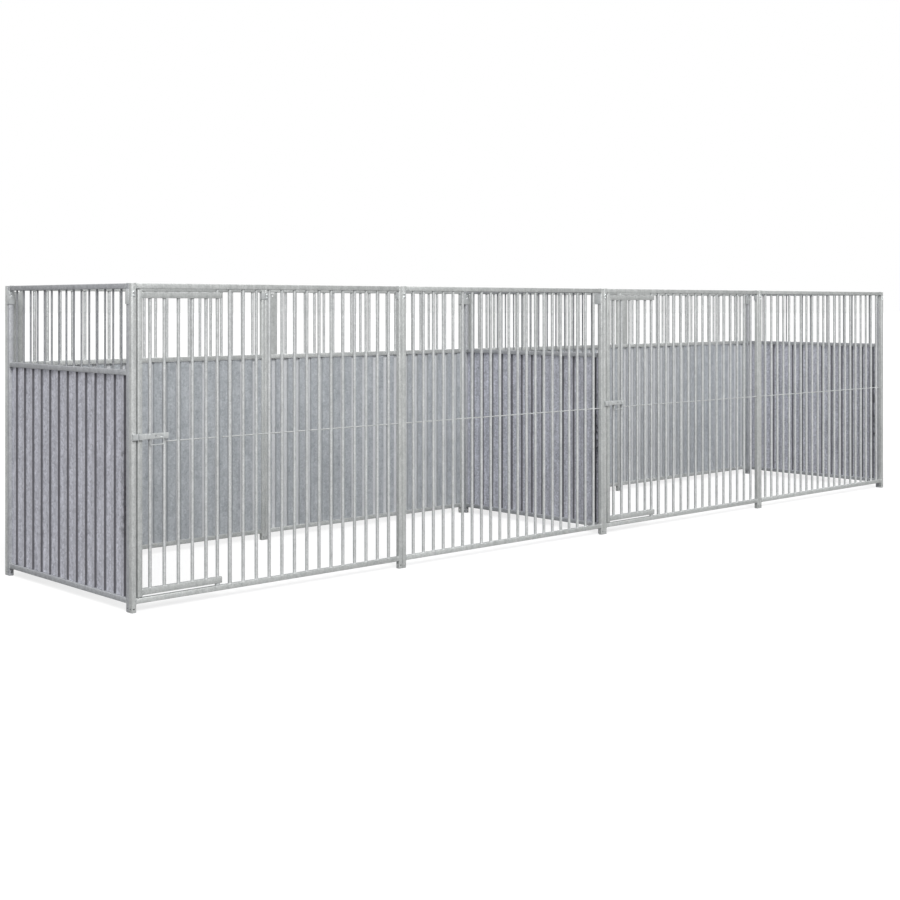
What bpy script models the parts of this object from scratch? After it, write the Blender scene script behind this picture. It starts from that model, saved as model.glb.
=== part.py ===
# Two-bay modular dog kennel: bolted panels of galvanised tube, round bars and trapezoidal sheet.
# Metres, +Z up. The front faces -Y, and the origin is on the floor at the middle of the kennel's box.
import bmesh
import bpy
import math
from mathutils import Matrix

# Driving dimensions
PanelWidth = 2.0
WallDepth = 1.5
Height = 1.84
PanelCount = 4
DoorPanels = (1, 3)

# Tube frame
Tube = 0.03
TubeWall = 0.002
FootHeight = 0.049
MidRailLow = 1.325
Seam = 0.001
FitGap = 0.0003
Weld = 0.001
Overrun = 0.01

# Round bars and the thin rod that ties them
BarRadius = 0.01
WallBarRadius = 0.006
BarSides = 8
UpperBarSides = 6
HoleSides = 6
JambRadius = 0.012
PanelBars = 21
WallBars = 15
RodHeight = 0.945
RodRadius = 0.004
RodSides = 6
RodEndGap = 0.001
RodClearance = 0.035

# Door leaf, measured from its panel's left edge
HingeX = 0.575
JambX = 0.662
JambGaps = 14
StileLow = 0.039
StileFoot = 0.082
StileTop = 1.806
DoorBarFirst = 0.125
DoorBarPitch = 0.093
DoorBars = 5
DoorRailHeight = 0.035
DoorRailLows = (0.093, 1.757)
RailTail = 0.03
HingeHoleRadius = 0.0109
CollarRadius = 0.015
RoundSides = 16

# Latch
LatchZ = 0.98
LatchHeight = 0.034
LatchReach = 0.012
LatchPlate = 0.003
BoltHeight = 0.026
BoltThickness = 0.005
BoltLength = 0.19
BoltTip = 0.042
BoltClear = 0.0005
StileGuide = (0.041, 0.069)
BarGuide = (0.206, 0.23)
Keeper = (0.003, 0.0368)
HandleLegs = (0.113, 0.2)
HandleDrop = 0.035
HandleRadius = 0.004
PadlockHoleX = 0.148
BoltTravel = 0.038
PadlockHoleRadius = 0.0055

# Door stops, behind the stile
StopX = (0.044, 0.074)
StopThickness = 0.004
StopHeights = ((0.055, 0.112), (1.778, 1.834))

# Trapezoidal sheet
SheetThickness = 0.001
SheetGap = 0.001
CrestY = 0.009
FlatY = 0.021
RibCrest = 0.028
RibSlope = 0.008
WallRibs = 13
RearRibs = 18

# Joint hardware
CouplingHeights = (1.772, 1.793)
ScrewRadius = 0.004
ScrewHoleRadius = 0.0052
HeadRadius = 0.007
HeadHeight = 0.006
ClampThickness = 0.003
ClampHeights = (1.7575, 1.8075)
StrapHeights = (1.724, 1.809)
ScrewSides = 6
FootHoleHeight = 0.022
FootHoleRadius = 0.005
EndPlateWidth = 0.075
EndPlateTop = 1.804
EndPlateCorner = 0.012
EndPlateCornerSteps = 3
EndPlateHoleDrop = 0.02

# Edges that turn by less than this are shaded smooth
SmoothBelow = math.radians(50)

# Places worked out from the dimensions above
StileHigh = StileLow + Tube
RailTop = FootHeight + Tube
RailUnder = Height - Tube
MidRailHigh = MidRailLow + Tube
PanelSpan = PanelWidth - Seam
WallSpan = WallDepth - Seam
PanelPitch = (PanelWidth - Tube) / (PanelBars + 1)
WallPitch = (WallDepth - Tube) / (WallBars + 1)
JambPitch = (PanelWidth - Tube / 2 - JambX) / JambGaps
Depth = 2 * Tube + WallDepth + Seam
FrontY = (LatchReach - HeadHeight - Depth) / 2
WallY = FrontY + Tube + Seam
RearY = FrontY + Depth
LeftX = -PanelWidth * PanelCount / 2
WallXs = (LeftX, 0.0, -LeftX - Tube)

Finishes = {
    "galvanised_frame": ((0.50, 0.52, 0.51), 0.55, 0.85),
    "galvanised_bar": ((0.55, 0.57, 0.56), 0.5, 0.85),
    "galvanised_sheet": ((0.36, 0.36, 0.39), 0.6, 0.8),
    "zinc_hardware": ((0.47, 0.48, 0.48), 0.45, 0.9),
}


def clear_scene():
    for old in list(bpy.data.objects):
        bpy.data.objects.remove(old)


def make_material(name):
    colour, roughness, metallic = Finishes[name]
    material = bpy.data.materials.new(name)
    material.use_nodes = True
    shader = material.node_tree.nodes["Principled BSDF"]
    shader.inputs["Base Color"].default_value = (*colour, 1.0)
    shader.inputs["Roughness"].default_value = roughness
    shader.inputs["Metallic"].default_value = metallic
    return material


# Shapes, each added to a bmesh


def add_box(bm, low, high):
    size = [b - a for a, b in zip(low, high)]
    middle = [(a + b) / 2 for a, b in zip(low, high)]
    matrix = Matrix.Translation(middle) @ Matrix.Diagonal((*size, 1.0))
    bmesh.ops.create_cube(bm, size=1.0, matrix=matrix)


def axis_turn(axis):
    turns = {"x": Matrix.Rotation(math.pi / 2, 4, "Y"), "y": Matrix.Rotation(-math.pi / 2, 4, "X")}
    return turns.get(axis, Matrix.Identity(4))


def add_rod(bm, start, length, radius, axis="z", sides=BarSides):
    flat_side = Matrix.Rotation(math.pi / sides, 4, "Z")
    middle = Matrix.Translation((0, 0, length / 2))
    matrix = Matrix.Translation(start) @ axis_turn(axis) @ middle @ flat_side
    bmesh.ops.create_cone(
        bm, cap_ends=True, segments=sides, radius1=radius, radius2=radius, depth=length, matrix=matrix
    )


def add_turned(bm, start, steps, axis, sides):
    # steps are (radius, distance along the axis) pairs, from one end to the other
    matrix = Matrix.Translation(start) @ axis_turn(axis)
    rings = []
    for radius, along in steps:
        ring = []
        for side in range(sides):
            angle = 2 * math.pi * (side + 0.5) / sides
            point = matrix @ Matrix.Translation((radius * math.cos(angle), radius * math.sin(angle), along))
            ring.append(bm.verts.new(point.translation))
        rings.append(ring)
    for lower, upper in zip(rings, rings[1:]):
        for side in range(sides):
            after = (side + 1) % sides
            bm.faces.new((lower[side], lower[after], upper[after], upper[side]))
    bm.faces.new(rings[0][::-1])
    bm.faces.new(rings[-1])


def shape(fill):
    bm = bmesh.new()
    fill(bm)
    mesh = bpy.data.meshes.new("shape")
    bm.to_mesh(mesh)
    bm.free()
    return mesh


def fused(solids, hollows=()):
    # The solids joined into one body, with the hollows cut out of it
    helpers = [bpy.data.objects.new("helper", shape(fill)) for fill in (*solids, *hollows)]
    for helper in helpers:
        bpy.context.scene.collection.objects.link(helper)
    base = helpers[0]
    for number, helper in enumerate(helpers[1:], start=1):
        modifier = base.modifiers.new("join", "BOOLEAN")
        modifier.operation = "UNION" if number < len(solids) else "DIFFERENCE"
        modifier.object = helper
    graph = bpy.context.evaluated_depsgraph_get()
    mesh = bpy.data.meshes.new_from_object(base.evaluated_get(graph))
    for helper in helpers:
        bpy.data.objects.remove(helper)
    return mesh


def mirrored(mesh):
    # The same panel with its outside turned to +Y
    other = mesh.copy()
    other.transform(Matrix.Scale(-1, 4, (0, 1, 0)))
    other.flip_normals()
    return other


def place(name, mesh, material, location, turn=0.0, parent=None):
    if not mesh.materials:
        mesh.materials.append(Materials[material])
    mesh.shade_smooth()
    mesh.set_sharp_from_angle(angle=SmoothBelow)
    piece = bpy.data.objects.new(name, mesh)
    bpy.context.scene.collection.objects.link(piece)
    piece.location = location
    piece.rotation_euler.z = turn
    piece.parent = parent
    return piece


# Tube work


def post_outer(x):
    return lambda bm: add_box(bm, (x, 0, 0), (x + Tube, Tube, Height))


def post_hollow(x):
    low = (x + TubeWall, TubeWall, -Overrun)
    high = (x + Tube - TubeWall, Tube - TubeWall, Height - TubeWall)
    return lambda bm: add_box(bm, low, high)


def foot_hole(bm, x):
    start = (x + Tube / 2, -Overrun, FootHoleHeight)
    add_rod(bm, start, Tube + 2 * Overrun, FootHoleRadius, "y", HoleSides)


def screw_holes(bm, x, axis):
    for z in CouplingHeights:
        start = (x + Tube / 2, -Overrun, z) if axis == "y" else (x - Overrun, Tube / 2, z)
        add_rod(bm, start, Tube + 2 * Overrun, ScrewHoleRadius, axis, HoleSides)


def make_post(with_screws):
    def holes(bm):
        foot_hole(bm, 0)
        if with_screws:
            screw_holes(bm, 0, "y")

    return fused([post_outer(0)], [post_hollow(0), holes])


def make_rail(low_x, high_x, low_z):
    low, high = (low_x, 0, low_z), (high_x, Tube, low_z + Tube)
    inner_low = (low_x - Overrun, TubeWall, low_z + TubeWall)
    inner_high = (high_x + Overrun, Tube - TubeWall, low_z + Tube - TubeWall)
    return fused([lambda bm: add_box(bm, low, high)], [lambda bm: add_box(bm, inner_low, inner_high)])


def bar_row(first, pitch, count, low_z, high_z, radius=BarRadius, sides=BarSides):
    def fill(bm):
        for number in range(count):
            start = (first + number * pitch, Tube / 2, low_z)
            add_rod(bm, start, high_z - low_z, radius, "z", sides)

    return fill


def tie_rod(low_x, high_x):
    start = (low_x, Tube / 2, RodHeight)
    return lambda bm: add_rod(bm, start, high_x - low_x, RodRadius, "x", RodSides)


def rails_outer(low_x, high_x, lows):
    def fill(bm):
        for z in lows:
            add_box(bm, (low_x, 0, z), (high_x, Tube, z + Tube))

    return fill


def rails_hollow(low_x, high_x, lows):
    def fill(bm):
        for z in lows:
            low = (low_x, TubeWall, z + TubeWall)
            high = (high_x, Tube - TubeWall, z + Tube - TubeWall)
            add_box(bm, low, high)

    return fill


# Panels


def make_front_grille():
    # Top and bottom rail with the bars and the tie rod between them
    low_x, high_x = Tube + FitGap, PanelSpan - Tube - FitGap
    lows = (FootHeight, RailUnder)
    solids = [
        rails_outer(low_x, high_x, lows),
        bar_row(Tube / 2 + PanelPitch, PanelPitch, PanelBars, RailTop - Weld, RailUnder + Weld),
        tie_rod(low_x, high_x),
    ]
    return fused(solids, [rails_hollow(low_x - Overrun, high_x + Overrun, lows)])


def make_door_panel_bars():
    # Jamb bar and the fixed bars beside the doorway, held together by the tie rod. The rod starts far
    # enough from the hinge's axis to stay clear of the door's own rod when the door is open.
    low_z, high_z = RailTop + FitGap, RailUnder - FitGap
    solids = [
        bar_row(JambX, 0, 1, low_z, high_z, JambRadius),
        bar_row(JambX + JambPitch, JambPitch, JambGaps - 1, low_z, high_z),
        tie_rod(HingeX + RodClearance, PanelSpan - Tube - FitGap),
    ]
    return fused(solids)


def make_hinge_bar():
    low, high = RailTop + FitGap, RailUnder - FitGap
    collar_high = DoorRailLows[0] - FitGap
    steps = (
        (CollarRadius, low),
        (CollarRadius, collar_high),
        (BarRadius, collar_high),
        (BarRadius, high),
    )
    return shape(lambda bm: add_turned(bm, (HingeX, Tube / 2, 0), steps, "z", RoundSides))


def make_sheeted_frame(span, bars, pitch, bar_radius, screw_axis, screw_ends):
    # Welded frame of two posts and three rails, with bars above the mid rail
    right = span - Tube
    lows = (FootHeight, MidRailLow, RailUnder)

    def posts(bm):
        post_outer(0)(bm)
        post_outer(right)(bm)

    def post_hollows(bm):
        post_hollow(0)(bm)
        post_hollow(right)(bm)

    def holes(bm):
        foot_hole(bm, 0)
        foot_hole(bm, right)
        for x in screw_ends:
            screw_holes(bm, x, screw_axis)

    low_z, high_z = MidRailHigh - Weld, RailUnder + Weld
    solids = [
        posts,
        rails_outer(Tube - Weld, right + Weld, lows),
        bar_row(Tube / 2 + pitch, pitch, bars, low_z, high_z, bar_radius, UpperBarSides),
    ]
    hollows = [post_hollows, rails_hollow(Tube / 2, right + Tube / 2, lows), holes]
    return fused(solids, hollows)


def make_sheet(span, ribs):
    low_x, high_x = Tube + SheetGap, span - Tube - SheetGap
    low_z, high_z = RailTop + SheetGap, MidRailLow - SheetGap
    pitch = (high_x - low_x) / ribs
    outline = [(low_x, FlatY)]
    for number in range(ribs):
        middle = low_x + (number + 0.5) * pitch
        foot = RibCrest / 2 + RibSlope
        outline.append((middle - foot, FlatY))
        outline.append((middle - RibCrest / 2, CrestY))
        outline.append((middle + RibCrest / 2, CrestY))
        outline.append((middle + foot, FlatY))
    outline.append((high_x, FlatY))

    def fill(bm):
        lower = [bm.verts.new((x, y, low_z)) for x, y in outline]
        upper = [bm.verts.new((x, y, high_z)) for x, y in outline]
        for number in range(len(outline) - 1):
            bm.faces.new((lower[number], lower[number + 1], upper[number + 1], upper[number]))

    blank = bpy.data.objects.new("blank", shape(fill))
    bpy.context.scene.collection.objects.link(blank)
    solidify = blank.modifiers.new("thickness", "SOLIDIFY")
    solidify.thickness = SheetThickness
    solidify.offset = 0.0
    solidify.use_even_offset = True
    mesh = bpy.data.meshes.new_from_object(blank.evaluated_get(bpy.context.evaluated_depsgraph_get()))
    bpy.data.objects.remove(blank)
    return mesh


def make_end_plate():
    # Flat strip beside the left post of a rear panel, with rounded top corners and a hole
    low_x, high_x = Tube + FitGap, Tube + EndPlateWidth
    low_z = MidRailHigh + FitGap
    back, face = Tube - TubeWall, Tube - TubeWall + FitGap - ClampThickness
    outline = [(low_x, low_z), (high_x, low_z)]
    quarter = math.pi / 2
    for middle, first in ((high_x - EndPlateCorner, 0), (low_x + EndPlateCorner, quarter)):
        for step in range(EndPlateCornerSteps + 1):
            angle = first + quarter * step / EndPlateCornerSteps
            x = middle + EndPlateCorner * math.cos(angle)
            outline.append((x, EndPlateTop - EndPlateCorner + EndPlateCorner * math.sin(angle)))

    def fill(bm):
        near = [bm.verts.new((x, face, z)) for x, z in outline]
        far = [bm.verts.new((x, back, z)) for x, z in outline]
        bm.faces.new(near)
        bm.faces.new(far[::-1])
        for number in range(len(outline)):
            after = (number + 1) % len(outline)
            bm.faces.new((near[after], near[number], far[number], far[after]))

    def hole(bm):
        start = ((low_x + high_x) / 2, face - Overrun, EndPlateTop - EndPlateHoleDrop)
        add_rod(bm, start, ClampThickness + 2 * Overrun, FootHoleRadius, "y", HoleSides)

    return fused([fill], [hole])


# Door


def make_door_leaf():
    rail_low_x = StileLow + Tube - Weld
    tail_middle = HingeX + RailTail - Tube / 2
    inner_high = HingeX - Tube / 2 - 2 * TubeWall

    def stile(bm):
        add_box(bm, (StileLow, 0, StileFoot), (StileHigh, Tube, StileTop))

    def rails(bm):
        for z in DoorRailLows:
            add_box(bm, (rail_low_x, 0, z), (tail_middle, Tube, z + DoorRailHeight))

    def tails(bm):
        for z in DoorRailLows:
            add_rod(bm, (tail_middle, Tube / 2, z), DoorRailHeight, Tube / 2, "z", RoundSides)

    def stile_hollow(bm):
        low = (StileLow + TubeWall, TubeWall, StileFoot - Overrun)
        high = (StileHigh - TubeWall, Tube - TubeWall, StileTop - TubeWall)
        add_box(bm, low, high)

    def rail_hollows(bm):
        for z in DoorRailLows:
            low = (StileLow + Tube / 2, TubeWall, z + TubeWall)
            high = (inner_high, Tube - TubeWall, z + DoorRailHeight - TubeWall)
            add_box(bm, low, high)

    def hinge_holes(bm):
        for z in DoorRailLows:
            start = (HingeX, Tube / 2, z - Overrun)
            add_rod(bm, start, DoorRailHeight + 2 * Overrun, HingeHoleRadius, "z", RoundSides)

    low_z = DoorRailLows[0] + DoorRailHeight - Weld
    bars = bar_row(DoorBarFirst, DoorBarPitch, DoorBars, low_z, DoorRailLows[1] + Weld)
    rod = tie_rod(DoorBarFirst + DoorBarPitch, HingeX - BarRadius - RodEndGap)
    return fused([stile, rails, tails, bars, rod], [stile_hollow, rail_hollows, hinge_holes])


def guide_outer(bm, ends, back=-FitGap):
    low = (ends[0], -LatchReach, LatchZ - LatchHeight / 2)
    add_box(bm, low, (ends[1], back, LatchZ + LatchHeight / 2))


def bolt_low_y():
    return -FitGap - LatchPlate - BoltClear - BoltThickness


def guide_channel(bm, ends):
    half = BoltHeight / 2 + BoltClear
    low = (ends[0] - Overrun, bolt_low_y() - BoltClear, LatchZ - half)
    high = (ends[1] + Overrun, -FitGap - LatchPlate, LatchZ + half)
    add_box(bm, low, high)


def make_latch_plate():
    # Back plate with the two guides that the bolt slides in
    def plate(bm):
        low = (StileGuide[0], -FitGap - LatchPlate, LatchZ - LatchHeight / 2)
        add_box(bm, low, (BarGuide[1], -FitGap, LatchZ + LatchHeight / 2))

    def guides(bm):
        guide_outer(bm, StileGuide)
        guide_outer(bm, BarGuide)

    def channels(bm):
        guide_channel(bm, StileGuide)
        guide_channel(bm, BarGuide)

    def padlock_hole(bm):
        start = (PadlockHoleX, -LatchPlate - Overrun, LatchZ)
        add_rod(bm, start, LatchPlate + 2 * Overrun, PadlockHoleRadius, "y")

    return fused([plate, guides], [channels, padlock_hole])


def make_keeper():
    return fused([lambda bm: guide_outer(bm, Keeper)], [lambda bm: guide_channel(bm, Keeper)])


def make_latch_bolt():
    # Flat sliding bolt with a loop handle under it. One of its two padlock holes meets the plate's hole
    # when the bolt is drawn, the other when it is shot.
    low_z = LatchZ - BoltHeight / 2
    middle_y = bolt_low_y() + BoltThickness / 2
    grip_z = low_z - HandleDrop

    def flat(bm):
        low = (BoltTip, bolt_low_y(), low_z)
        add_box(bm, low, (BoltTip + BoltLength, bolt_low_y() + BoltThickness, LatchZ + BoltHeight / 2))

    def legs(bm):
        for x in HandleLegs:
            add_rod(bm, (x, middle_y, grip_z), HandleDrop + BoltHeight / 4, BoltThickness / 2)

    def grip(bm):
        start = (HandleLegs[0] - HandleRadius, middle_y, grip_z)
        add_rod(bm, start, HandleLegs[1] - HandleLegs[0] + 2 * HandleRadius, HandleRadius, "x")

    def padlock_holes(bm):
        for x in (PadlockHoleX, PadlockHoleX + BoltTravel):
            add_rod(bm, (x, middle_y - Overrun, LatchZ), 2 * Overrun, PadlockHoleRadius, "y")

    return fused([flat, legs, grip], [padlock_holes])


def make_door_stop(heights):
    low = (StopX[0], Tube + FitGap, heights[0])
    high = (StopX[1], Tube + FitGap + StopThickness, heights[1])
    return shape(lambda bm: add_box(bm, low, high))


# Joint hardware


def make_coupling(clamped_depth, hooks_neighbour, straps_wall):
    # Two screws through the post and a clamp strip behind it. The strip can hook round the next panel's
    # post, and where a cross wall joins it is the bottom of a U whose straps lie beside the wall's post.
    middle_x = Tube / 2
    back = clamped_depth + FitGap
    nut = back + ClampThickness
    steps = (
        (HeadRadius, -HeadHeight),
        (HeadRadius, -FitGap),
        (ScrewRadius, -FitGap),
        (ScrewRadius, nut - ClampThickness / 2),
        (HeadRadius, nut - ClampThickness / 2),
        (HeadRadius, nut + HeadHeight),
    )
    hook_x = -Tube - Seam - FitGap - ClampThickness
    strap_xs = (-FitGap - ClampThickness, Tube + FitGap)
    low_x = hook_x if hooks_neighbour else strap_xs[0]
    high_x = strap_xs[1] + ClampThickness if straps_wall else Tube - TubeWall
    low_z, high_z = StrapHeights if straps_wall else ClampHeights

    def screws(bm):
        for z in CouplingHeights:
            add_turned(bm, (middle_x, 0, z), steps, "y", ScrewSides)

    def clamp(bm):
        add_box(bm, (low_x, back, low_z), (high_x, nut, high_z))

    def hook(bm):
        add_box(bm, (hook_x, Tube / 4, low_z), (hook_x + ClampThickness, back + Weld, high_z))

    def straps(bm):
        for x in strap_xs:
            add_box(bm, (x, Tube + Seam, low_z), (x + ClampThickness, back + Weld, high_z))

    solids = [screws, clamp]
    if hooks_neighbour:
        solids.append(hook)
    if straps_wall:
        solids.append(straps)
    return fused(solids)


# The kennel


def panel_x(number):
    return LeftX + (number - 1) * PanelWidth + Seam / 2


def build_front():
    screwed_post, plain_post = make_post(True), make_post(False)
    grille = make_front_grille()
    top_rail = make_rail(Tube + FitGap, PanelSpan - Tube - FitGap, RailUnder)
    bottom_rail = make_rail(Tube + FitGap, PanelSpan - Tube - FitGap, FootHeight)
    bars, hinge_bar = make_door_panel_bars(), make_hinge_bar()
    for number in range(1, PanelCount + 1):
        name, x = f"front_{number}", panel_x(number)
        here = (x, FrontY, 0)
        end_post = screwed_post if number == PanelCount else plain_post
        place(f"{name}_left_post", screwed_post, "galvanised_frame", here)
        place(f"{name}_right_post", end_post, "galvanised_frame", (x + PanelSpan - Tube, FrontY, 0))
        if number not in DoorPanels:
            place(f"{name}_grille", grille, "galvanised_bar", here)
            continue
        place(f"{name}_top_rail", top_rail, "galvanised_frame", here)
        place(f"{name}_bottom_rail", bottom_rail, "galvanised_frame", here)
        place(f"{name}_fixed_bars", bars, "galvanised_bar", here)
        place(f"{name}_hinge_bar", hinge_bar, "galvanised_bar", here)


def build_walls():
    screwed_posts = (0, WallSpan - Tube)
    frame = make_sheeted_frame(WallSpan, WallBars, WallPitch, WallBarRadius, "x", screwed_posts)
    sheet = make_sheet(WallSpan, WallRibs)
    insets = (Seam / 2, Seam / 2, -Seam / 2)
    for name, x, inset in zip(("left_wall", "middle_wall", "right_wall"), WallXs, insets):
        here = (x + inset, WallY + WallSpan, 0)
        place(f"{name}_frame", frame, "galvanised_frame", here, -math.pi / 2)
        place(f"{name}_sheet", sheet, "galvanised_sheet", here, -math.pi / 2)


def build_rear():
    frame_ends = ((0,), (0, PanelSpan - Tube))
    one_end, both_ends = [
        mirrored(make_sheeted_frame(PanelSpan, PanelBars, PanelPitch, BarRadius, "y", ends))
        for ends in frame_ends
    ]
    sheet = mirrored(make_sheet(PanelSpan, RearRibs))
    plate = mirrored(make_end_plate())
    for number in range(1, PanelCount + 1):
        name, here = f"rear_{number}", (panel_x(number), RearY, 0)
        frame = both_ends if number == PanelCount else one_end
        place(f"{name}_frame", frame, "galvanised_frame", here)
        place(f"{name}_sheet", sheet, "galvanised_sheet", here)
        place(f"{name}_end_plate", plate, "galvanised_frame", here)


def build_doors():
    leaf, plate, bolt, keeper = make_door_leaf(), make_latch_plate(), make_latch_bolt(), make_keeper()
    stops = [make_door_stop(heights) for heights in StopHeights]
    for name, number in zip(("left_door", "right_door"), DoorPanels):
        here = (panel_x(number), FrontY, 0)
        pivot = bpy.data.objects.new(f"{name}_pivot", None)
        bpy.context.scene.collection.objects.link(pivot)
        pivot.location = (here[0] + HingeX, FrontY + Tube / 2, 0)
        from_pivot = (-HingeX, -Tube / 2, 0)
        place(f"{name}_leaf", leaf, "galvanised_frame", from_pivot, parent=pivot)
        place(f"{name}_latch_plate", plate, "zinc_hardware", from_pivot, parent=pivot)
        place(f"{name}_latch_bolt", bolt, "zinc_hardware", from_pivot, parent=pivot)
        place(f"{name}_keeper", keeper, "zinc_hardware", here)
        place(f"{name}_stop_bottom", stops[0], "zinc_hardware", here)
        place(f"{name}_stop_top", stops[1], "zinc_hardware", here)


def build_couplings():
    wall_depth = 2 * Tube + Seam
    corner = make_coupling(wall_depth, False, True)
    inline = make_coupling(Tube, True, False)
    centre = make_coupling(wall_depth, True, True)
    meshes = (corner, inline, centre, inline, corner)
    for number, mesh in enumerate(meshes, start=1):
        if number <= PanelCount:
            x = panel_x(number)
        else:
            x = panel_x(PanelCount) + PanelSpan - Tube
        place(f"front_coupling_{number}", mesh, "zinc_hardware", (x, FrontY, 0))
        place(f"rear_coupling_{number}", mirrored(mesh), "zinc_hardware", (x, RearY, 0))


clear_scene()
Materials = {name: make_material(name) for name in Finishes}
build_front()
build_walls()
build_rear()
build_doors()
build_couplings()
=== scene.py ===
# Two-bay galvanised dog kennel: fine shapes and finishes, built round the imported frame.
# Metres, +Z up, the front faces -Y. Panels are made lying at their own left corner, then put in place.
import math

import bmesh
import bpy
from mathutils import Matrix, Vector


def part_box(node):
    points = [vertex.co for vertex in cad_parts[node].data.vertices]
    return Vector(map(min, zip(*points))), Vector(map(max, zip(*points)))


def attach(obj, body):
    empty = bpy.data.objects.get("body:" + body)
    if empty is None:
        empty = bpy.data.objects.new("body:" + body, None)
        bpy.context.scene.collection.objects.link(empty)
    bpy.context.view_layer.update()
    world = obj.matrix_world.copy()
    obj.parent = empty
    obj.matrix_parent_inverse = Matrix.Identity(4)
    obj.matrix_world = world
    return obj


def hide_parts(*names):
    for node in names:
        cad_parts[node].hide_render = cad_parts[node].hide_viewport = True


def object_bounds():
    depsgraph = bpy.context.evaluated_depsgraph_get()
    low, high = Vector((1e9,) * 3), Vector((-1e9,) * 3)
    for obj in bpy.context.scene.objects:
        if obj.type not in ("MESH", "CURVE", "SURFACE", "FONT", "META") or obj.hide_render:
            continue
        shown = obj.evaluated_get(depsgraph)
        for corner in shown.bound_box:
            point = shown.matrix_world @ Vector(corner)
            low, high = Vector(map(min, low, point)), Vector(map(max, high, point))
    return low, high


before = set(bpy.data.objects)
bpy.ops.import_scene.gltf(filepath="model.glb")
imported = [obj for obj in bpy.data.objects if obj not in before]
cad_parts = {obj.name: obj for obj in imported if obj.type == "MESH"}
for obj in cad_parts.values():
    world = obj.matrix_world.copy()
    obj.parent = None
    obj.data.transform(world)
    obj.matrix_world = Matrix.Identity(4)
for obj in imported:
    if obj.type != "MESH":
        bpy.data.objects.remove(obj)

cadLow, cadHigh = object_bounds()
print("frame loaded")

mm = 0.001
gap = 0.3 * mm  # clearance between pieces that lie against each other

# Tube work: cold-formed square tube, welded into panels and then dipped whole
tube = {
    "side": 30 * mm,
    "wall": 2 * mm,
    "corner": 3 * mm,  # outside corner radius of the rolled tube
    "cornerSteps": 3,
    "endRound": 1 * mm,
    "footRound": 4 * mm,
    "footHollow": 120 * mm,
    "footHoleUp": 22 * mm,
    "footHole": 5 * mm,
    "holeSides": 14,
    "railInset": 0.2 * mm,
    "bead": 2.2 * mm,
    "beadRipple": 1.1 * mm,
    "beadSteps": 44,
    "beadSides": 6,
}
bars = {
    "radius": 10 * mm,
    "wallRadius": 6 * mm,
    "jambRadius": 12 * mm,
    "sides": 16,
    "collar": 3 * mm,  # weld round a bar's end
    "rodRadius": 4 * mm,
    "rodUp": 0.945,
    "rodClearance": 35 * mm,  # from the hinge's axis, so that the open door's rod passes
    "frontCount": 21,
    "wallCount": 15,
    "jambGaps": 14,
    "jambX": 0.662,
    "hingeX": 0.575,
    "sunk": mm,  # how far a bar's end reaches into its rail
}
door = {
    "stileX": 39 * mm,
    "stileFoot": 82 * mm,
    "stileTop": 1.806,
    "railUps": (0.093, 1.757),
    "railTall": 35 * mm,
    "railEdge": 1.2 * mm,
    "tail": 30 * mm,
    "tailSteps": 8,
    "eye": 10.9 * mm,
    "eyeSides": 24,
    "lugEdge": 1.4 * mm,
    "firstBar": 0.125,
    "barStep": 0.093,
    "barCount": 5,
}
hingeCollar = {
    "inner": 10.2 * mm,
    "outer": 15 * mm,
    "edge": 0.8 * mm,
    "sides": 24,
}
cladding = {
    "crestDepth": 9 * mm,
    "flatDepth": 21 * mm,
    "crest": 28 * mm,
    "slope": 8 * mm,
    "foldShadeSpread": 1.5 * mm,  # how far the painted shade of a fold runs on to the flat
    "sheet": 0.8 * mm,
    "wallRibs": 13,
    "rearRibs": 18,
    "columns": 44,  # strips across one rib and its flat
    "rows": 14,
    "dent": 1.6 * mm,  # slack of thin sheet between its ribs
    "edgeGap": mm,
}
endPlateSizes = {
    "corner": 12 * mm,
    "cornerSteps": 8,
    "edge": 0.5 * mm,
    "hole": 5.5 * mm,
    "holeSides": 18,
    "holeDrop": 20 * mm,
}
latch = {
    "reach": 12 * mm,
    "plate": 3 * mm,
    "boltEnds": (0.042, 0.232),
    "boltTall": 26 * mm,
    "boltThick": 5 * mm,
    "play": 0.5 * mm,
    "legs": (0.113, 0.200),
    "drop": 35 * mm,
    "wire": 3 * mm,
    "bend": 9 * mm,
    "bendSteps": 6,
    "handleRoot": 4 * mm,
    "padlockX": 0.148,
    "travel": 38 * mm,
    "padlockHole": 5.5 * mm,
    "holeSides": 20,
    "stileGuide": (0.041, 0.069),
    "barGuide": (0.206, 0.230),
    "guideFold": 1.5 * mm,
    "guideEdge": 0.4 * mm,
    "edge": 0.8 * mm,
}
screws = {
    "ups": (1.772, 1.793),
    "head": 6.5 * mm,
    "headTall": 4.6 * mm,
    "washer": 8.5 * mm,
    "washerTall": 1.2 * mm,
    "shank": 4 * mm,
    "shankTall": 5.6 * mm,
    "strapUps": (1.724, 1.809),
    "stripUps": (1.7575, 1.8075),
    "strap": 3 * mm,
    "edge": 0.6 * mm,
}


# Finishes

def hexColour(code):
    # sRGB hex to the linear values that shaders take
    shares = [int(code[at:at + 2], 16) / 255 for at in (1, 3, 5)]
    return (*(s / 12.92 if s <= 0.04045 else ((s + 0.055) / 1.055) ** 2.4 for s in shares), 1.0)


def addNode(tree, kind, options=None, inputs=None):
    # options are the node's own settings, inputs are plain values or (node, output) links
    node = tree.nodes.new(kind)
    for key, value in (options or {}).items():
        setattr(node, key, value)
    for key, value in (inputs or {}).items():
        if isinstance(value, tuple) and isinstance(value[0], bpy.types.Node):
            tree.links.new(value[0].outputs[value[1]], node.inputs[key])
        else:
            node.inputs[key].default_value = value
    return node


def calc(tree, operation, first, second):
    return addNode(tree, "ShaderNodeMath", {"operation": operation}, {0: first, 1: second})


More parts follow.
